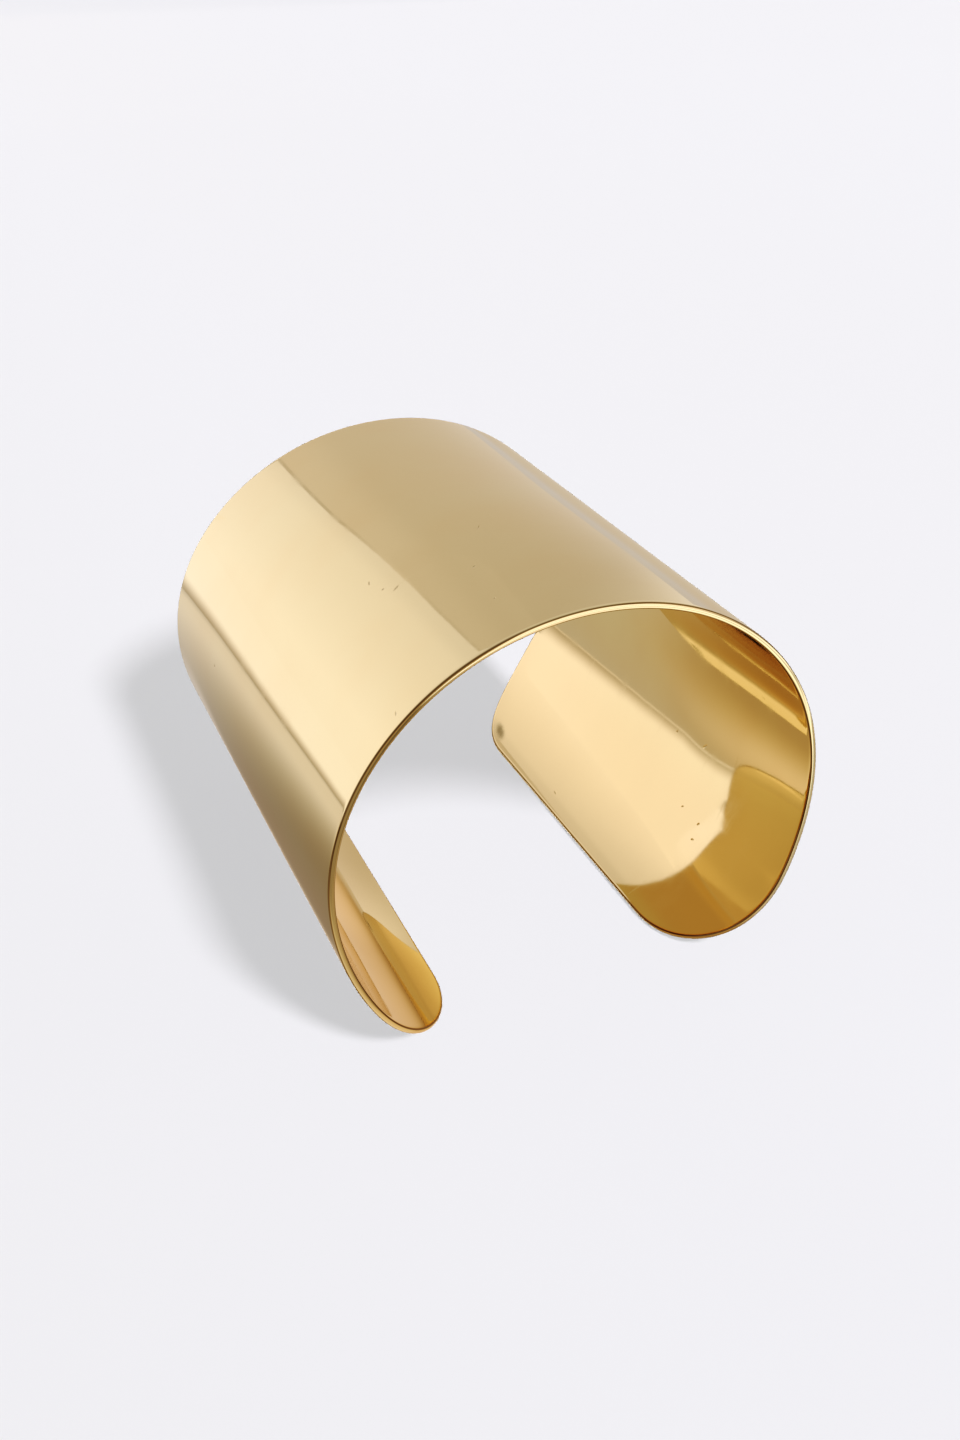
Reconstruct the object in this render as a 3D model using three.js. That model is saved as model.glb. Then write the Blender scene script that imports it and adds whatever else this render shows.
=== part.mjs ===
// An open cuff bangle: one sheet of metal with rounded corners and rounded edges, bent to an oval
// with a gap between its two free ends. It lies on both free ends, with its crown up.
// Millimetres, +Z up. X runs across the gap, and Y runs through the hollow from rim to rim.
// The origin is on the surface that the cuff lies on, under the middle of the crown.

import * as THREE from 'three';

// The flat sheet, before it is bent.
const SHEET_LENGTH = 152.4;
const CROWN_WIDTH = 61.8;
const SIDE_SPREAD = 0.175; // the share by which square ends would be wider than the crown
const CORNER_RUN = 17.6; // a rounded corner's size along the sheet
const CORNER_RISE = 13; // and across it
const WALL = 0.8;
const EDGE_RADIUS = WALL / 2; // the edge is polished fully round

// The bend's radius at even steps from the middle of the crown to a free end. Both halves are alike.
const BEND_RADII = [33.3, 30.3, 25.1, 30.8, 17.6];

// How finely the curves are cut into flat facets.
const STRAIGHT_FACETS = 81; // an odd number, so that one lies level across the top of the crown
const CORNER_FACETS = 12;
const BEND_STEPS = 400; // short steps that are added up along the bend
const DEGREE = Math.PI / 180;
const LEVEL_HALF_ANGLE = 9 * DEGREE; // half the turn of the foot, the facet that a free end rests on

// Curvature at s, the distance along the sheet from the crown, eased from one radius to the next.
function curvature(s) {
  const step = Math.min(Math.abs(s) / (SHEET_LENGTH / 2), 1) * (BEND_RADII.length - 1);
  const from = Math.min(Math.floor(step), BEND_RADII.length - 2);
  const ease = (1 - Math.cos(Math.PI * (step - from))) / 2;
  return (1 - ease) / BEND_RADII[from] + ease / BEND_RADII[from + 1];
}

// The middle of the wall at s, and how far the sheet leans there, from level at the crown.
function bend(s) {
  const step = s / BEND_STEPS;
  let [x, z, lean] = [0, 0, 0];
  for (let i = 0; i < BEND_STEPS; i++) {
    const turn = curvature((i + 0.5) * step) * step;
    x += Math.cos(lean + turn / 2) * step;
    z -= Math.sin(lean + turn / 2) * step;
    lean += turn;
  }
  return { x, z, lean };
}

// Places along the sheet from one free end to the other. A place on a straight side has no turn,
// and in a corner turn is how far the outline has turned from the side towards the end.
function stations() {
  const corner = Array.from({ length: CORNER_FACETS }, (_, i) => ((i + 1) / CORNER_FACETS) * 90 * DEGREE);
  const straight = Array.from({ length: STRAIGHT_FACETS + 1 }, (_, i) => (2 * i) / STRAIGHT_FACETS - 1);
  return [
    ...corner.toReversed().map((turn) => ({ along: -1, turn: -turn })),
    ...straight.map((along) => ({ along, turn: 0 })),
    ...corner.map((turn) => ({ along: 1, turn })),
  ];
}

// A point of the rounded edge, which is half a round bar on a line just inside the outline.
// side is 1 or -1 across the sheet. angle runs round the edge, from -90 degrees at the inner
// face to 90 at the outer one.
function edgePoint({ along, turn }, side, angle) {
  const s = along * (SHEET_LENGTH / 2 - CORNER_RUN) + (CORNER_RUN - EDGE_RADIUS) * Math.sin(turn);
  const narrowing = CORNER_RISE - (CORNER_RISE - EDGE_RADIUS) * Math.cos(turn);
  const spread = 1 + SIDE_SPREAD * (s / (SHEET_LENGTH / 2)) ** 2;
  const across = (CROWN_WIDTH / 2 - narrowing) * spread;
  const { x, z, lean } = bend(s);
  const endward = EDGE_RADIUS * Math.cos(angle) * Math.sin(turn);
  const sideward = EDGE_RADIUS * Math.cos(angle) * Math.cos(turn);
  const outward = EDGE_RADIUS * Math.sin(angle);
  return [
    x + endward * Math.cos(lean) + outward * Math.sin(lean),
    side * (across + sideward),
    z - endward * Math.sin(lean) + outward * Math.cos(lean),
  ];
}

// The angles between the edge's facets. One facet of each free end lies level, as its foot, and
// the middle facet faces straight out of the rim.
function edgeAngles() {
  const foot = bend(SHEET_LENGTH / 2 - EDGE_RADIUS).lean - 90 * DEGREE;
  const outer = [12 * DEGREE, 37 * DEGREE, foot - LEVEL_HALF_ANGLE, foot + LEVEL_HALF_ANGLE, 90 * DEGREE];
  return [...outer.toReversed().map((angle) => -angle), ...outer];
}

// The cuff's closed skin: rings of points round the edge, with strips from ring to ring, and
// straight rungs from side to side over the inner and the outer face.
function cuffGeometry() {
  const places = stations();
  const count = 2 * places.length;
  const rings = edgeAngles().map((angle) => [
    ...places.map((place) => edgePoint(place, 1, angle)),
    ...places.toReversed().map((place) => edgePoint(place, -1, angle)),
  ]);
  const index = [];
  const addQuad = (a, b, c, d) => index.push(a, b, c, a, c, d);
  for (let ring = 0; ring < rings.length - 1; ring++) {
    for (let i = 0; i < count; i++) {
      const [here, next] = [ring * count + i, ring * count + ((i + 1) % count)];
      addQuad(here, here + count, next + count, next);
    }
  }
  const outerRing = (rings.length - 1) * count;
  for (let i = 0; i < places.length - 1; i++) {
    const [here, next, nextAcross, across] = [i, i + 1, count - 2 - i, count - 1 - i];
    addQuad(here, next, nextAcross, across);
    addQuad(outerRing + here, outerRing + across, outerRing + nextAcross, outerRing + next);
  }
  const geometry = new THREE.BufferGeometry();
  geometry.setAttribute('position', new THREE.Float32BufferAttribute(rings.flat(2), 3));
  geometry.setIndex(index);
  geometry.computeBoundingBox();
  geometry.translate(0, 0, -geometry.boundingBox.min.z);
  geometry.computeVertexNormals();
  return geometry;
}

const gold = new THREE.MeshStandardMaterial({ color: 0xe3c28a, roughness: 0.12, metalness: 1 });
const cuff = new THREE.Mesh(cuffGeometry(), gold);
cuff.name = 'cuff';

const bangle = new THREE.Group();
bangle.add(cuff);

export default bangle;
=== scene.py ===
"""A wide open cuff bangle of polished pale gold sheet, lying on both free ends in a pale studio."""

import math

import bpy
import numpy as np
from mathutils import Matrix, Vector


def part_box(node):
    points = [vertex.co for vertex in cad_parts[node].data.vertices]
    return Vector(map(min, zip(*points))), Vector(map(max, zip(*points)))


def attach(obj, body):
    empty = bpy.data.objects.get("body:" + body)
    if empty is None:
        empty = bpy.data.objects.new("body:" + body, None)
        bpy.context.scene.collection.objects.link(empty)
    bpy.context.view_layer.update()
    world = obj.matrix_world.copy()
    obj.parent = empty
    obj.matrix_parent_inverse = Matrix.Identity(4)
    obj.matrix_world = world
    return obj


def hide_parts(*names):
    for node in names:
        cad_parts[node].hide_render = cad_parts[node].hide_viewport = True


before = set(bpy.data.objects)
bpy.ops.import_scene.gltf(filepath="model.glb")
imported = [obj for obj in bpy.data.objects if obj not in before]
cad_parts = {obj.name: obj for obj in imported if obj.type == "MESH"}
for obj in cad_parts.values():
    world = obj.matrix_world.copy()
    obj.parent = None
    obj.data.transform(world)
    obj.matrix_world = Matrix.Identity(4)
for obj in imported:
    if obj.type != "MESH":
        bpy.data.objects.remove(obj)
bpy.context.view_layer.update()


# ---------------------------------------------------------------------------------------------
# The cuff: one piece of sheet brass, cut to a rectangle with rounded corners, its edges filed and
# buffed fully round. It is rolled round a former to an oval, which leaves a gap between the two
# free ends, then polished bright all over and plated with pale gold.
# ---------------------------------------------------------------------------------------------

MM = 0.001
SHEET_LENGTH = 152.4 * MM
CROWN_WIDTH = 61.8 * MM
SIDE_SPREAD = 0.175  # the share by which square ends would be wider than the crown
CORNER_RUN = 17.6 * MM  # a rounded corner's size along the sheet
CORNER_RISE = 13 * MM  # and across it
WALL = 0.8 * MM
EDGE_RADIUS = WALL / 2
EDGE_FULLNESS = 0.85  # 1 is half a round bar, and less is a little squarer
BEND_RADII = np.array([33.3, 30.3, 25.1, 30.8, 17.6]) * MM  # at even steps from crown to free end

BEND_SAMPLES = 6001
STRAIGHT_COLUMNS = 301
CORNER_COLUMNS = 40
ROWS = 97
EDGE_STEPS = 12


def running_sum(values, places):
    """The integral of values over places from the middle place on, by the trapezium rule."""
    steps = (values[1:] + values[:-1]) / 2 * np.diff(places)
    total = np.concatenate([[0], np.cumsum(steps)])
    return total - total[len(total) // 2]


def bend(s):
    """The wall's middle line at s, the distance along the sheet from the crown: x, z and the lean.

    Curvature goes from one radius to the next by half a cosine wave. Its integral is the lean, and
    the integrals of the lean's cosine and sine are x and z.
    """
    places = np.linspace(-SHEET_LENGTH / 2, SHEET_LENGTH / 2, BEND_SAMPLES)
    step = np.abs(places) / (SHEET_LENGTH / 2) * (len(BEND_RADII) - 1)
    start = np.minimum(step.astype(int), len(BEND_RADII) - 2)
    ease = (1 - np.cos(np.pi * (step - start))) / 2
    lean = running_sum((1 - ease) / BEND_RADII[start] + ease / BEND_RADII[start + 1], places)
    x = running_sum(np.cos(lean), places)
    z = -running_sum(np.sin(lean), places)
    return np.interp(s, places, x), np.interp(s, places, z), np.interp(s, places, lean)


ROLL_MARK_DEPTH = 0.09 * MM
ROLL_MARK_REACH = 34 * MM


def roll_marks(s, across):
    """How far the rolled sheet stands out of its true bend: a wave along times a wave across.

    The waves are 60 mm and 50 mm long. They are deepest by the crown, and die away towards the free
    ends as a bell curve does.
    """
    along_wave = np.sin(2 * np.pi * (s + 9 * MM) / (60 * MM))
    cross_wave = np.cos(2 * np.pi * (across - 15 * MM) / (50 * MM))
    return -ROLL_MARK_DEPTH * along_wave * cross_wave * np.exp(-((s / ROLL_MARK_REACH) ** 2))


def sheet_point(s, across, endward, sideward, outward):
    """Points at s along the bent sheet and across it, each moved by three small lengths.

    The lengths run along the sheet's length, across its width and out of its face. The face lies
    square to the lean, with its middle line as high as the crown of the frame allows.
    """
    x, z, lean = bend(s)
    crown_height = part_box("cuff")[1].z - WALL / 2
    outward = outward + roll_marks(s, across)
    return np.stack(
        [
            x + endward * np.cos(lean) + outward * np.sin(lean),
            across + sideward,
            crown_height + z - endward * np.sin(lean) + outward * np.cos(lean),
        ],
        axis=-1,
    )


def cuff_mesh():
    """A closed skin: a grid of columns and rows on each face, and a half round strip round the rim.

    Columns run from one free end to the other. In a corner they follow a quarter of an ellipse, by
    the angle that the outline has turned from the side towards the end. Rows run across, closer
    together near the rims. The strip goes round both grids' shared outline. Each vertex keeps its
    place on the flat sheet: along it, across it, and out of its middle plane.
    """
    turn = np.linspace(0, np.pi / 2, CORNER_COLUMNS + 1)[1:]
    turn = np.concatenate([-turn[::-1], np.zeros(STRAIGHT_COLUMNS), turn])
    along = np.concatenate(
        [-np.ones(CORNER_COLUMNS), np.linspace(-1, 1, STRAIGHT_COLUMNS), np.ones(CORNER_COLUMNS)]
    )
    s = along * (SHEET_LENGTH / 2 - CORNER_RUN) + (CORNER_RUN - EDGE_RADIUS) * np.sin(turn)
    narrowing = CORNER_RISE - (CORNER_RISE - EDGE_RADIUS) * np.cos(turn)
    half_width = (CROWN_WIDTH / 2 - narrowing) * (1 + SIDE_SPREAD * (s / (SHEET_LENGTH / 2)) ** 2)

    even = np.linspace(-1, 1, ROWS)
    share = (even + np.sin(even * np.pi / 2)) / 2
    grid_s = np.repeat(s[:, None], ROWS, axis=1)
    grid_across = half_width[:, None] * share
    outer = sheet_point(grid_s, grid_across, 0, 0, EDGE_RADIUS)
    inner = sheet_point(grid_s, grid_across, 0, 0, -EDGE_RADIUS)

    last_column, last_row = len(s) - 1, ROWS - 1
    outline = [(i, last_row) for i in range(last_column)]
    outline += [(last_column, j) for j in range(last_row, 0, -1)]
    outline += [(i, 0) for i in range(last_column, 0, -1)]
    outline += [(0, j) for j in range(last_row)]
    column, row = np.array(outline).T
    at_end = (column == 0) | (column == last_column)
    side = np.where(row == last_row, 1, -1) * np.where(at_end, 0, 1)
    angles = np.linspace(np.pi / 2, -np.pi / 2, EDGE_STEPS + 1)[1:-1, None]
    rim_s = s[column] + 0 * angles
    rim_across = grid_across[column, row] + 0 * angles
    reach = EDGE_RADIUS * np.cos(angles) ** EDGE_FULLNESS
    endward = reach * np.sin(turn[column])
    sideward = reach * np.cos(turn[column]) * side
    outward = EDGE_RADIUS * np.sign(angles) * np.abs(np.sin(angles)) ** EDGE_FULLNESS + 0 * endward
    strip = sheet_point(rim_s, rim_across, endward, sideward, outward)

    number = np.arange(outer[..., 0].size).reshape(outer.shape[:2])
    strip_number = 2 * number.size + np.arange(strip[..., 0].size).reshape(strip.shape[:2])
    rings = np.vstack([number[column, row], strip_number, number.size + number[column, row]])
    a, b, c, d = number[:-1, :-1], number[1:, :-1], number[1:, 1:], number[:-1, 1:]
    after = np.roll(rings, -1, axis=1)
    faces = [
        np.stack([a, b, c, d], axis=-1),
        np.stack([a, d, c, b], axis=-1) + number.size,
        np.stack([rings[:-1], after[:-1], after[1:], rings[1:]], axis=-1),
    ]
    faces = np.vstack([block.reshape(-1, 4) for block in faces])
    sheet_place = [
        np.stack([grid_s, grid_across, 0 * grid_s + EDGE_RADIUS], axis=-1),
        np.stack([grid_s, grid_across, 0 * grid_s - EDGE_RADIUS], axis=-1),
        np.stack([rim_s + endward, rim_across + sideward, outward], axis=-1),
    ]

    mesh = bpy.data.meshes.new("cuff_skin")
    vertices = np.vstack([block.reshape(-1, 3) for block in (outer, inner, strip)])
    mesh.from_pydata(vertices.tolist(), [], faces.tolist())
    mesh.polygons.foreach_set("use_smooth", np.ones(len(faces), bool))
    attribute = mesh.attributes.new("sheet_place", "FLOAT_VECTOR", "POINT")
    place = np.vstack([block.reshape(-1, 3) for block in sheet_place])
    attribute.data.foreach_set("vector", place.astype(np.float32).ravel())
    return mesh


class Value:
    """A socket in a node tree. Arithmetic on it adds Math nodes, and node() adds any other node."""

    def __init__(self, tree, output=None):
        self.tree = tree
        self.output = output

    def node(self, kind, settings=None, inputs=None, result=0):
        """Adds a node: its settings, then its inputs by name or number, each a link or a value."""
        made = self.tree.nodes.new("ShaderNode" + kind)
        for name, setting in (settings or {}).items():
            setattr(made, name, setting)
        for name, given in (inputs or {}).items():
            if isinstance(given, Value):
                self.tree.links.new(given.output, made.inputs[name])
            else:
                made.inputs[name].default_value = given
        return Value(self.tree, made.outputs[result] if made.outputs else None)

    def math(self, operation, first, second):
        return self.node("Math", {"operation": operation}, {0: first, 1: second})

    def __add__(self, other):
        return self.math("ADD", self, other)

    def __sub__(self, other):
        return self.math("SUBTRACT", self, other)

    def __rsub__(self, other):
        return self.math("SUBTRACT", other, self)

    def __mul__(self, other):
        return self.math("MULTIPLY", self, other)

    __radd__ = __add__
    __rmul__ = __mul__


def axes(vector):
    """The three parts of a vector."""
    return [vector.node("SeparateXYZ", {}, {0: vector}, part) for part in range(3)]


def smooth(value, start, end, low=0.0, high=1.0):
    """Goes from low to high, smoothly at both ends, as value goes from start to end."""
    inputs = {"Value": value, "From Min": start, "From Max": end, "To Min": low, "To Max": high}
    return value.node("MapRange", {"interpolation_type": "SMOOTHSTEP"}, inputs)


def blend(factor, first, second):
    """The colour first where factor is 0, and second where it is 1."""
    return factor.node("Mix", {"data_type": "RGBA"}, {0: factor, 6: first, 7: second}, 2)


def grain(place, sizes, detail=2.0, shift=(0, 0, 0)):
    """Noise from 0 to 1 whose lumps are sizes long, in metres, along the place's three axes."""
    stretch = place.node("Mapping", {}, {0: place, 1: shift, 3: [1 / size for size in sizes]})
    return place.node("TexNoise", {}, {0: stretch, "Scale": 1.0, "Detail": detail})


# Small marks on the metal, in millimetres and degrees: along and across the flat sheet, face
# (1 outside, -1 inside), and the mark's length, width and heading from the long way.
#        along  across face  length width heading
MARKS = [
    (-16.3,  -8.2,  1,   0.9,   0.35,   70),
    (-14.4, -12.2,  1,   1.3,   0.30,   25),
    (-15.6, -10.9,  1,   0.5,   0.30,   10),
    ( -2.2,  -7.7,  1,   1.3,   0.35,   60),
    ( -6.4, -15.8,  1,   0.8,   0.40,   15),
    ( -7.4, -23.2,  1,   0.6,   0.35,   80),
    (-22.7, -29.6,  1,   0.9,   0.30,   65),
    (-39.7,  12.8,  1,   0.6,   0.50,    0),
    ( 31.0,   9.5,  1,   1.1,   0.30,  120),
    ( 47.5, -14.0,  1,   0.7,   0.35,   40),
    ( 52.7, -12.7, -1,   1.2,   0.40,   35),
    ( 54.0,  -6.4, -1,   0.5,   0.35,    0),
    ( 61.8, -18.0, -1,   0.6,   0.40,   20),
    ( 63.9, -18.7, -1,   0.7,   0.35,   75),
    ( 61.6, -13.9, -1,   0.5,   0.35,   50),
    ( 73.8,   6.2, -1,   1.0,   0.35,  100),
    (-60.5,  -4.0, -1,   0.8,   0.35,   30),
]

# A dark, blotchy, duller spot in the back corner of the right free end, in the same terms.
DARK_SPOT_CORE = (74.0, 24.8, -1, 1.9, 5.4, 20)
DARK_SPOT_HALO = (74.6, 25.8, -1, 4.4, 8.0, 20)


def mark(place, along, across, face, length, width, heading):
    """1 in the middle of a mark and 0 past its outline, an ellipse turned to its heading."""
    settings = {"vector_type": "TEXTURE"}
    inputs = {
        0: place,
        1: (along * MM, across * MM, face * EDGE_RADIUS),
        2: (0, 0, math.radians(heading)),
        3: (length * MM / 2, width * MM / 2, EDGE_RADIUS),
    }
    local = place.node("Mapping", settings, inputs)
    distance = place.node("VectorMath", {"operation": "LENGTH"}, {0: local}, "Value")
    return smooth(distance, 1.0, 0.2)


OUTER_GOLD = (0.79, 0.65, 0.39, 1)
INNER_GOLD = (0.815, 0.63, 0.355, 1)
PALER_AND_BOUNCE_LIT_GOLD = (0.83, 0.71, 0.41, 1)  # inside, crown to right wall: partly plate tone, partly painted bounce light
DEEPER_AND_SHADED_GOLD = (0.70, 0.52, 0.28, 1)  # inside, front of the left foot: partly plate tone, partly painted shade
CLOUD_GOLD = (0.78, 0.60, 0.34, 1)
NICK_BROWN = (0.36, 0.25, 0.11, 1)
DARK_SPOT_BROWN = (0.17, 0.13, 0.07, 1)
SHOULDER_DARK_REFLECTION = (0.18, 0.11, 0.045, 1)  # painted dark reflection where a face turns into the rim

TWIST_SLOPE = 0.014
SWELLING_RISE = 0.67 * MM
HAIRLINE_DEPTH = 0.00012 * MM
RIPPLE_DEPTH = 0.006 * MM
SCRATCH_DEPTH = 0.0006 * MM
NICK_DEPTH = 0.03 * MM


def gold_metal():
    """Pale gold over polished brass, deeper on the inside, with the marks of polishing and wear.

    Some of its colour is painted light: a dark reflection along the rim's shoulders, and inside a
    paler patch by the crown and a darker one at the left foot, each partly the plate's own tone
    and partly painted light and shade.

    On the inner face the right wall is twisted, which is a slope across it, and swells near its
    front foot, which is a smooth rise and fall along it. Both are too slight to change the outline.
    """
    metal = bpy.data.materials.new("polished_gold")
    metal.use_nodes = True
    shader = metal.node_tree.nodes["Principled BSDF"]
    start = Value(metal.node_tree)
    place = start.node("Attribute", {"attribute_name": "sheet_place"}, {}, "Vector")
    along, across, depth = axes(place)

    inside = smooth(depth, EDGE_RADIUS * 0.6, -EDGE_RADIUS * 0.6)
    from_middle = start.math("ABSOLUTE", depth, 0.0)
    rim = smooth(from_middle, EDGE_RADIUS, EDGE_RADIUS * 0.85)
    # A painted dark reflection along each shoulder, where a face turns into the rim.
    painted_rim_line = smooth(from_middle, EDGE_RADIUS * 0.5, EDGE_RADIUS * 0.75)
    painted_rim_line = painted_rim_line * smooth(from_middle, EDGE_RADIUS * 0.99, EDGE_RADIUS * 0.9)
    twist = smooth(along, 30 * MM, 50 * MM) * across * TWIST_SLOPE
    swelling = smooth(along, 42 * MM, 58 * MM) - smooth(along, 60 * MM, 70 * MM)
    swelling = swelling * smooth(across, -8 * MM, -34 * MM) * SWELLING_RISE
    clouds = grain(place, (16 * MM, 11 * MM, 2 * MM), 3.0)
    smears = grain(place, (9 * MM, 5 * MM, 2 * MM), 4.0, (7, 3, 1))
    hairlines = grain(place, (24 * MM, 0.16 * MM, 1 * MM), 2.0)
    ripples = grain(place, (7 * MM, 5 * MM, 4 * MM), 1.0, (2, 9, 4))
    wander = grain(place, (90 * MM, 7 * MM, 1.5 * MM), 2.0, (4, 1, 8))
    scratch = smooth(start.math("ABSOLUTE", wander - 0.5, 0.0), 0.003, 0.001)
    scratch = scratch * smooth(grain(place, (8 * MM, 4 * MM, 1 * MM), 1.0, (5, 5, 2)), 0.56, 0.68)

    nicks = 0.0
    for row in MARKS:
        nicks = mark(place, *row) + nicks
    blotches = grain(place, (0.9 * MM, 1.3 * MM, 1 * MM), 2.0, (3, 6, 3))
    dark_spot = mark(place, *DARK_SPOT_CORE) * smooth(blotches, 0.3, 0.55, 0.5, 0.8)
    dark_spot = mark(place, *DARK_SPOT_HALO) * 0.22 + dark_spot

    base = blend(inside, OUTER_GOLD, INNER_GOLD)
    # Paler inside from the crown to the right wall: partly the plate's own tone, partly painted
    # light for light bouncing between the walls.
    paler_and_bounce_lit = smooth(along, -2 * MM, 12 * MM) * smooth(along, 62 * MM, 42 * MM) * inside
    base = blend(paler_and_bounce_lit, base, PALER_AND_BOUNCE_LIT_GOLD)
    # Darker inside at the front of the left foot: partly the plate's own tone, partly painted
    # shade.
    deeper_and_shaded_foot = smooth(along, -40 * MM, -60 * MM) * smooth(across, -12 * MM, -20 * MM) * inside
    base = blend(deeper_and_shaded_foot, base, DEEPER_AND_SHADED_GOLD)
    base = blend(smooth(clouds, 0.35, 0.75, 0.0, 0.35), base, CLOUD_GOLD)
    base = blend(nicks * 0.45, base, NICK_BROWN)
    base = blend(dark_spot * 0.7, base, DARK_SPOT_BROWN)
    # The rim's shoulders get their painted dark reflection.
    base = blend(painted_rim_line * 0.9, base, SHOULDER_DARK_REFLECTION)
    haze = smooth(smears, 0.5, 0.72, 0.0, 0.05) + scratch * 0.08 + nicks * 0.25 + dark_spot * 0.3
    roughness = hairlines * 0.02 + rim * 0.03 + haze + 0.035
    height = hairlines * HAIRLINE_DEPTH + ripples * RIPPLE_DEPTH - scratch * SCRATCH_DEPTH
    height = height - nicks * NICK_DEPTH + (swelling - twist) * inside

    def join(source, socket):
        metal.node_tree.links.new(source.output, shader.inputs[socket])

    join(base, "Base Color")
    join(roughness, "Roughness")
    join(start.node("Bump", {}, {"Strength": 1.0, "Distance": 1.0, "Height": height}), "Normal")
    shader.inputs["Metallic"].default_value = 1
    return metal


cuff = bpy.data.objects.new("gold_cuff", cuff_mesh())
bpy.context.scene.collection.objects.link(cuff)
cuff.data.materials.append(gold_metal())
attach(cuff, "root")
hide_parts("cuff")


# ---------------------------------------------------------------------------------------------
# The floor: a plain sheet of matt white paper that goes on past every view. Its colour is painted a
# little darker to the left, as shade away from the lamp.
# ---------------------------------------------------------------------------------------------

FLOOR_HALF = 6.0


def flat_panel(name, corners):
    """A flat panel that belongs to the studio and not to the cuff."""
    mesh = bpy.data.meshes.new(name)
    mesh.from_pydata(corners, [], [range(len(corners))])
    panel = bpy.data.objects.new(name, mesh)
    bpy.context.scene.collection.objects.link(panel)
    return panel


def level(west, east, south, north, height):
    """The corners of a level panel at a height."""
    return [(x, y, height) for x, y in ((west, south), (east, south), (east, north), (west, north))]


def paper_finish():
    """White paper with painted shade: its colour falls off by a smooth step from right to left."""
    paper = bpy.data.materials.new("white_paper")
    paper.use_nodes = True
    shader = paper.node_tree.nodes["Principled BSDF"]
    x, _, _ = axes(Value(paper.node_tree).node("TexCoord", {}, {}, "Object"))
    painted_shade_tone = blend(smooth(x, -0.16, 0.03), (0.82, 0.82, 0.82, 1), (0.85, 0.85, 0.86, 1))
    paper.node_tree.links.new(painted_shade_tone.output, shader.inputs["Base Color"])
    shader.inputs["Roughness"].default_value = 0.9
    shader.inputs["Specular IOR Level"].default_value = 0.1
    return paper


floor = flat_panel("floor", level(-FLOOR_HALF, FLOOR_HALF, -FLOOR_HALF, FLOOR_HALF, 0))
floor.data.materials.append(paper_finish())


# ---------------------------------------------------------------------------------------------
# The light: an even pale room, one large soft lamp high at the front right, and a fill lamp above.
# Cards and soft walls stand round the cuff, as in a jeweller's studio, for the metal to mirror.
# They glow with their own painted light and shade; no lamp lights them.
# ---------------------------------------------------------------------------------------------

ROOM_ON_PAPER = 0.03  # the share of the room's light that reaches the paper past the lamps
ROOM_BEHIND = 1.15  # how much brighter the lit backdrop is than the room that the metal mirrors

room = bpy.data.worlds.new("pale_room")
bpy.context.scene.world = room
room.use_nodes = True
room_light = room.node_tree.nodes["Background"]
room_light.inputs["Color"].default_value = (0.755, 0.75, 0.785, 1)
seen = Value(room.node_tree).node("LightPath", {}, {}, "Is Camera Ray")
mirrored = seen.node("LightPath", {}, {}, "Is Glossy Ray")
room_strength = seen.math("MAXIMUM", seen * ROOM_BEHIND, mirrored)
room_strength = seen.math("MAXIMUM", room_strength, ROOM_ON_PAPER)
room.node_tree.links.new(room_strength.output, room_light.inputs["Strength"])


def direction(azimuth, elevation):
    """Unit vector away from the cuff: azimuth turns right from -Y, and elevation goes up."""
    flat = math.cos(elevation)
    return Vector((math.sin(azimuth) * flat, -math.cos(azimuth) * flat, math.sin(elevation)))


def lamp(name, azimuth, elevation, energy, tint, spread, shadow):
    """Parallel light, softened by its spread, which the metal doesn't mirror."""
    light = bpy.data.lights.new(name, "SUN")
    light.energy = energy
    light.color = tint
    light.angle = math.radians(spread)
    light.use_shadow = shadow
    holder = bpy.data.objects.new(name, light)
    bpy.context.scene.collection.objects.link(holder)
    toward = direction(math.radians(azimuth), math.radians(elevation))
    holder.rotation_mode = "QUATERNION"
    holder.rotation_quaternion = toward.to_track_quat("Z", "Y")
    holder.visible_glossy = False


lamp("front_lamp", 14, 44.5, energy=1.43, tint=(1.0, 0.975, 1.05), spread=9, shadow=True)
lamp("fill_lamp", 0, 90, energy=2.2, tint=(1.0, 1.0, 1.01), spread=1, shadow=False)


def card(name, corners, look, from_behind=True):
    """A card that only the metal mirrors: it glows with painted light and shade, and no lamp lights
    it. look gives its tint and its shine from x, y and z.

    The metal sees through the back of a card that doesn't show from behind.
    """
    panel = flat_panel(name, corners)
    finish = bpy.data.materials.new(name)
    finish.use_nodes = True
    finish.node_tree.nodes.clear()
    start = Value(finish.node_tree)
    tint, shine = look(*axes(start.node("TexCoord", {}, {}, "Object")))
    tint = tint if isinstance(tint, Value) else tint[:3]
    color = start.node("VectorMath", {"operation": "SCALE"}, {0: tint, "Scale": shine})
    surface = start.node("Emission", {}, {"Color": color})
    if not from_behind:
        behind = start.node("NewGeometry", {}, {}, "Backfacing")
        clear = start.node("BsdfTransparent")
        surface = start.node("MixShader", {}, {0: behind, 1: surface, 2: clear})
    start.node("OutputMaterial", {}, {"Surface": surface})
    panel.data.materials.append(finish)
    panel.visible_camera = False
    panel.visible_diffuse = False
    panel.visible_shadow = False


def upright(first, second, top):
    """The corners of an upright panel from one point of the floor to another, up to top."""
    return [(*first, 0), (*second, 0), (*second, top), (*first, top)]


WARM_GREY = (1.0, 0.92, 0.86, 1)
TALL_CARD_AT = 1.5  # along Y, in metres
BACK_WALL_AT = 1.6


# A tall white card behind on the left, whose right edge leans and shades off, and a grey wall.
def wall_shine(x, z):
    """Falls off slowly to the right and upwards, and picks up again further out."""
    near = x.math("MAXIMUM", 0.7 - 0.07 * (x + 0.2) - 0.126 * (z - 1.13), 0.45)
    far_out = smooth(x * x + z * z, 1.82, 2.56, 0.0, 0.17)
    return near + far_out + smooth(x, 1.3, 1.6, 0.0, 0.08) + smooth(x, 0.25, -0.1, 0.0, 0.05)


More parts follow.
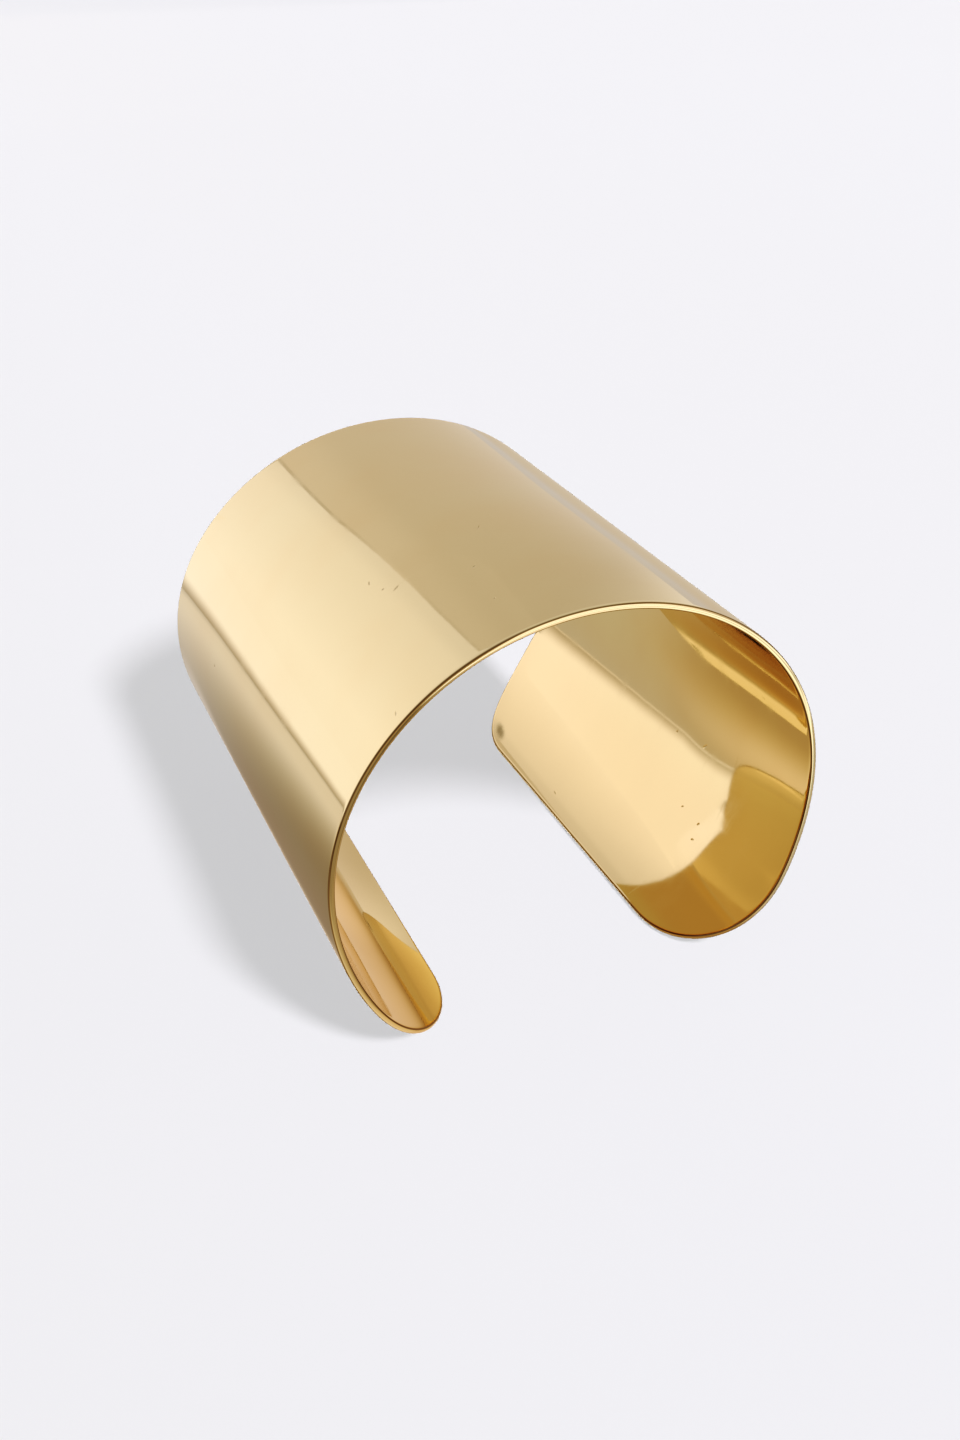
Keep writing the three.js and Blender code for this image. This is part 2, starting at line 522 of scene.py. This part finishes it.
def grey_wall_look(x, y, z):
    """Warm grey, and nearly white further out. A sheet of the same grey is pinned on it."""
    sheet = smooth(z - 0.1 * x, 1.045, 1.07) * smooth(x, 0.47, 0.42) * smooth(z, 2.2, 1.6)
    tint = blend(smooth(x * x + z * z, 1.82, 2.56), WARM_GREY, (1.0, 0.97, 0.93, 1))
    return tint, wall_shine(x, z) + sheet * smooth(x, -0.2, 0.5, -0.025, 0.018)


def card_edge_look(x, y, z):
    """The wall's grey, with a deeper shade below and above the height where the edge bends."""
    below = smooth(z, 0.98, 0.86, 0, 0.15)
    above = smooth(z, 1.0, 1.08, 0, 0.09)
    return WARM_GREY, wall_shine(x, z) - below - above


def white_card_look(x, y, z):
    """Falls off slowly to the right and upwards, and faster next to the card's edge."""
    slope = x.math("MINIMUM", 1.075 - 0.155 * (x + 1.06) - 0.2 * (z - 1.26), 1.24)
    tint = blend(smooth(z, 0.3, 1.1), (1.0, 0.985, 1.01, 1), (1.0, 0.965, 0.955, 1))
    return tint, slope - smooth(x, -0.4, -0.24, 0, 0.06) - smooth(z, 1.2, 1.5, 0, 0.03)


CARD_EDGE = [(-0.31, 0.0), (-0.225, 0.69), (-0.245, 0.86), (-0.2, 1.0), (-0.16, 1.2), (0.32, 3.0)]
CARD_EDGE_WIDTH = 0.025
edge_line = [(x, TALL_CARD_AT, z) for x, z in CARD_EDGE]
edge_shade = [(x + CARD_EDGE_WIDTH, TALL_CARD_AT, z) for x, z in CARD_EDGE]
card("tall_white_card", [(-4, TALL_CARD_AT, 0), *edge_line, (-4, TALL_CARD_AT, 3)], white_card_look)
card("tall_card_edge", [*edge_line, *edge_shade[::-1]], card_edge_look)
card("grey_wall", upright((-0.8, BACK_WALL_AT), (5, BACK_WALL_AT), 4), grey_wall_look)


# A low white card nearer by, in two flat parts. The right one has a thin grey lip along its foot,
# a painted dark line of shade.
def low_card_look(x, y, z):
    """Darkest at the foot, where the shade reaches higher up far off. Warmer and duller near by."""
    far = smooth(y, 0.05, 0.14)
    shade_top = y * 0.078 + 0.002
    shine = smooth(z, -0.002, shade_top, 0.46, far * 0.05 + 1.2)
    tint = blend(far, (1.0, 0.97, 0.96, 1), (1.0, 0.99, 1.02, 1))
    return blend(smooth(z, shade_top, 0.0), tint, (1.0, 0.9, 0.82, 1)), shine


LOW_CARD_HEIGHT = 0.045
LOW_CARD_CORNER = (-0.058, 0.145)
LOW_CARD_END = (-0.026, 0.0355)
LIP_HEIGHT = 1.5 * MM
LIP_CORNER = (-0.0555, 0.146)
LIP_END = (-0.0235, 0.0363)
left_part = upright((-1.2, 0.15), LOW_CARD_CORNER, LOW_CARD_HEIGHT)
right_part = upright(LOW_CARD_END, LOW_CARD_CORNER, LOW_CARD_HEIGHT)
card("low_card_left", left_part, low_card_look)
card("low_card_right", right_part, low_card_look, from_behind=False)
card(
    "low_card_lip",
    upright(LIP_END, LIP_CORNER, LIP_HEIGHT),
    lambda x, y, z: (WARM_GREY, smooth(z, -0.001, 0.001, 0.6, 0.84)),
    from_behind=False,
)


# A glowing copy of the paper floor, painted with its shade and with gold light thrown between the
# walls, that the metal mirrors; a back and a front part meet at the front rim.
def mirrored_floor_look(x, y, z):
    """Golden between the cuff's walls, painted light thrown by the gold, and duller to the right
    there.

    On the left, past the low card, it is in the cuff's painted shade near by and lightens further
    off. On the right it is golden near by, painted light thrown by the gold, and white further off.
    """
    away = 0.85 * y - 0.5 * x
    west = smooth(away, 0.03, 0.135, 0.34, 0.9) * smooth(y, 0.128, 0.15, 1.0, 0.75)
    under = smooth(y, 0.045, 0.01) * (0.26 - smooth(x, -0.012, 0.014, 0.0, 0.38)) + 0.6
    west = west + smooth(y, -0.008, -0.03) * (0.8 - west)
    past_low_card = smooth(x + 0.295 * y + 0.0155, 0.003, -0.003) * smooth(x, -0.022, -0.03)
    shine = under + past_low_card * (west - under)
    shine = shine + smooth(x, 0.02, 0.06) * (0.67 - shine)
    golden = smooth(y, 0.06, 0.012) * smooth(x, -0.045, -0.025) * smooth(x, 0.04, 0.02)
    gold_glow = blend(smooth(x, -0.01, 0.01), (1.0, 0.79, 0.6, 1), (1.0, 0.72, 0.45, 1))
    west_tint = blend(smooth(away, 0.03, 0.12), (1.0, 0.88, 0.76, 1), (1.0, 0.95, 0.92, 1))
    east_tint = blend(smooth(x, 0.1, 0.4), (1.0, 0.87, 0.7, 1), (1.0, 0.97, 1.0, 1))
    tint = blend(smooth(x, 0.02, 0.08), west_tint, east_tint)
    return blend(golden, tint, gold_glow), shine


def front_floor_look(x, y, z):
    """Tan on the left, and white on the right with a dull band across it.

    The tan falls off to the front, and is duller still next to the white.
    """
    shade = smooth(x, -0.014, -0.002) * smooth(x, 0.035, 0.015)
    tan_shine = smooth(y, -0.035, -0.085, 0.95, 0.38) * (1 - 0.4 * shade)
    near_white = smooth(y, -0.036, -0.07) * smooth(x, 0.3, 0.1) * smooth(y, -0.108, -0.088)
    far_white = smooth(y, -0.11, -0.14) * smooth(x, 0.8, 0.4)
    white_shine = (near_white + far_white) * 0.93 + 0.67
    white = smooth(x, 0.01, 0.04)
    tint = blend(white, (1.0, 0.86, 0.68, 1), (1.0, 0.99, 0.98, 1))
    return tint, tan_shine + white * (white_shine - tan_shine)


FRONT_WALL_AT = -1.6  # along Y
FLOOR_SEAM_AT = -0.034
JUST_ABOVE = 0.5 * MM
back_floor = level(-4, 5, FLOOR_SEAM_AT, BACK_WALL_AT, JUST_ABOVE)
front_floor = level(-2.5, 2.5, FRONT_WALL_AT, FLOOR_SEAM_AT, JUST_ABOVE)
card("mirrored_floor", back_floor, mirrored_floor_look)
card("mirrored_front_floor", front_floor, front_floor_look)


# The other walls: tan in front on the left, a soft white window in front on the right, and a soft
# pale one in the right wall.
TAN = (1.0, 0.80, 0.58, 1)
WINDOW_WHITE = (1.0, 0.97, 0.96, 1)
LEFT_WALL_AT = -1.7  # along X
RIGHT_WALL_AT = 1.72


def front_wall_look(x, y, z):
    """Tan, with the white window from the middle to the right."""
    window = smooth(x, 0.1, 0.4) * smooth(x, 2.6, 1.6) * smooth(z, 0.03, 0.3) * smooth(z, 3.2, 2.2)
    return blend(window, TAN, WINDOW_WHITE), window * 1.3 + 0.45


def left_wall_look(x, y, z):
    """Tan in front, and the room's own tone further back."""
    back = smooth(y, -1.6, -0.1)
    return blend(back, TAN, (1.0, 0.99, 1.04, 1)), back * 0.3 + 0.45


def right_wall_look(x, y, z):
    """Warm grey, with the pale window in front of the middle."""
    window = smooth(y, -0.1, -0.5) * smooth(z, 0.25, 0.6) * smooth(z, 1.9, 1.3)
    return WARM_GREY, window * 0.6 + 0.7


front_wall = upright((-2.6, FRONT_WALL_AT), (3.4, FRONT_WALL_AT), 3.4)
left_wall = upright((LEFT_WALL_AT, FRONT_WALL_AT), (LEFT_WALL_AT, -0.1), 2.2)
right_wall = upright((RIGHT_WALL_AT, FRONT_WALL_AT), (RIGHT_WALL_AT, BACK_WALL_AT), 2.4)
card("front_wall", front_wall, front_wall_look)
card("left_wall", left_wall, left_wall_look)
card("right_wall", right_wall, right_wall_look)


# ---------------------------------------------------------------------------------------------
# The camera looks from the front left and above, at the crown's front half. The print has a soft
# toe, which deepens the darkest golds.
# ---------------------------------------------------------------------------------------------

CAMERA_PLACE = (-0.05946, -0.13401, 0.11364)
CAMERA_AZIMUTH = math.radians(-24.447)
CAMERA_ELEVATION = math.radians(32.042)
CAMERA_LENS = 32.97
PRINT_TOE = ((0.05, 0.015), (0.1, 0.048), (0.2, 0.158), (0.3, 0.278), (0.45, 0.442))

camera_lens = bpy.data.cameras.new("camera")
camera_lens.sensor_width = 36
camera_lens.lens = CAMERA_LENS
camera_lens.clip_start = 0.01
camera_lens.clip_end = 50
camera = bpy.data.objects.new("camera", camera_lens)
bpy.context.scene.collection.objects.link(camera)
camera.rotation_mode = "QUATERNION"
camera.rotation_quaternion = direction(CAMERA_AZIMUTH, CAMERA_ELEVATION).to_track_quat("Z", "Y")
camera.location = CAMERA_PLACE
bpy.context.scene.camera = camera

bpy.context.scene.cycles.glossy_bounces = 12
bpy.context.scene.cycles.caustics_reflective = False
print_tone = bpy.context.scene.view_settings
print_tone.view_transform = "Standard"
print_tone.use_curve_mapping = True
toe = print_tone.curve_mapping.curves[3]
for brightness, printed in PRINT_TOE:
    toe.points.new(brightness, printed)
print_tone.curve_mapping.update()
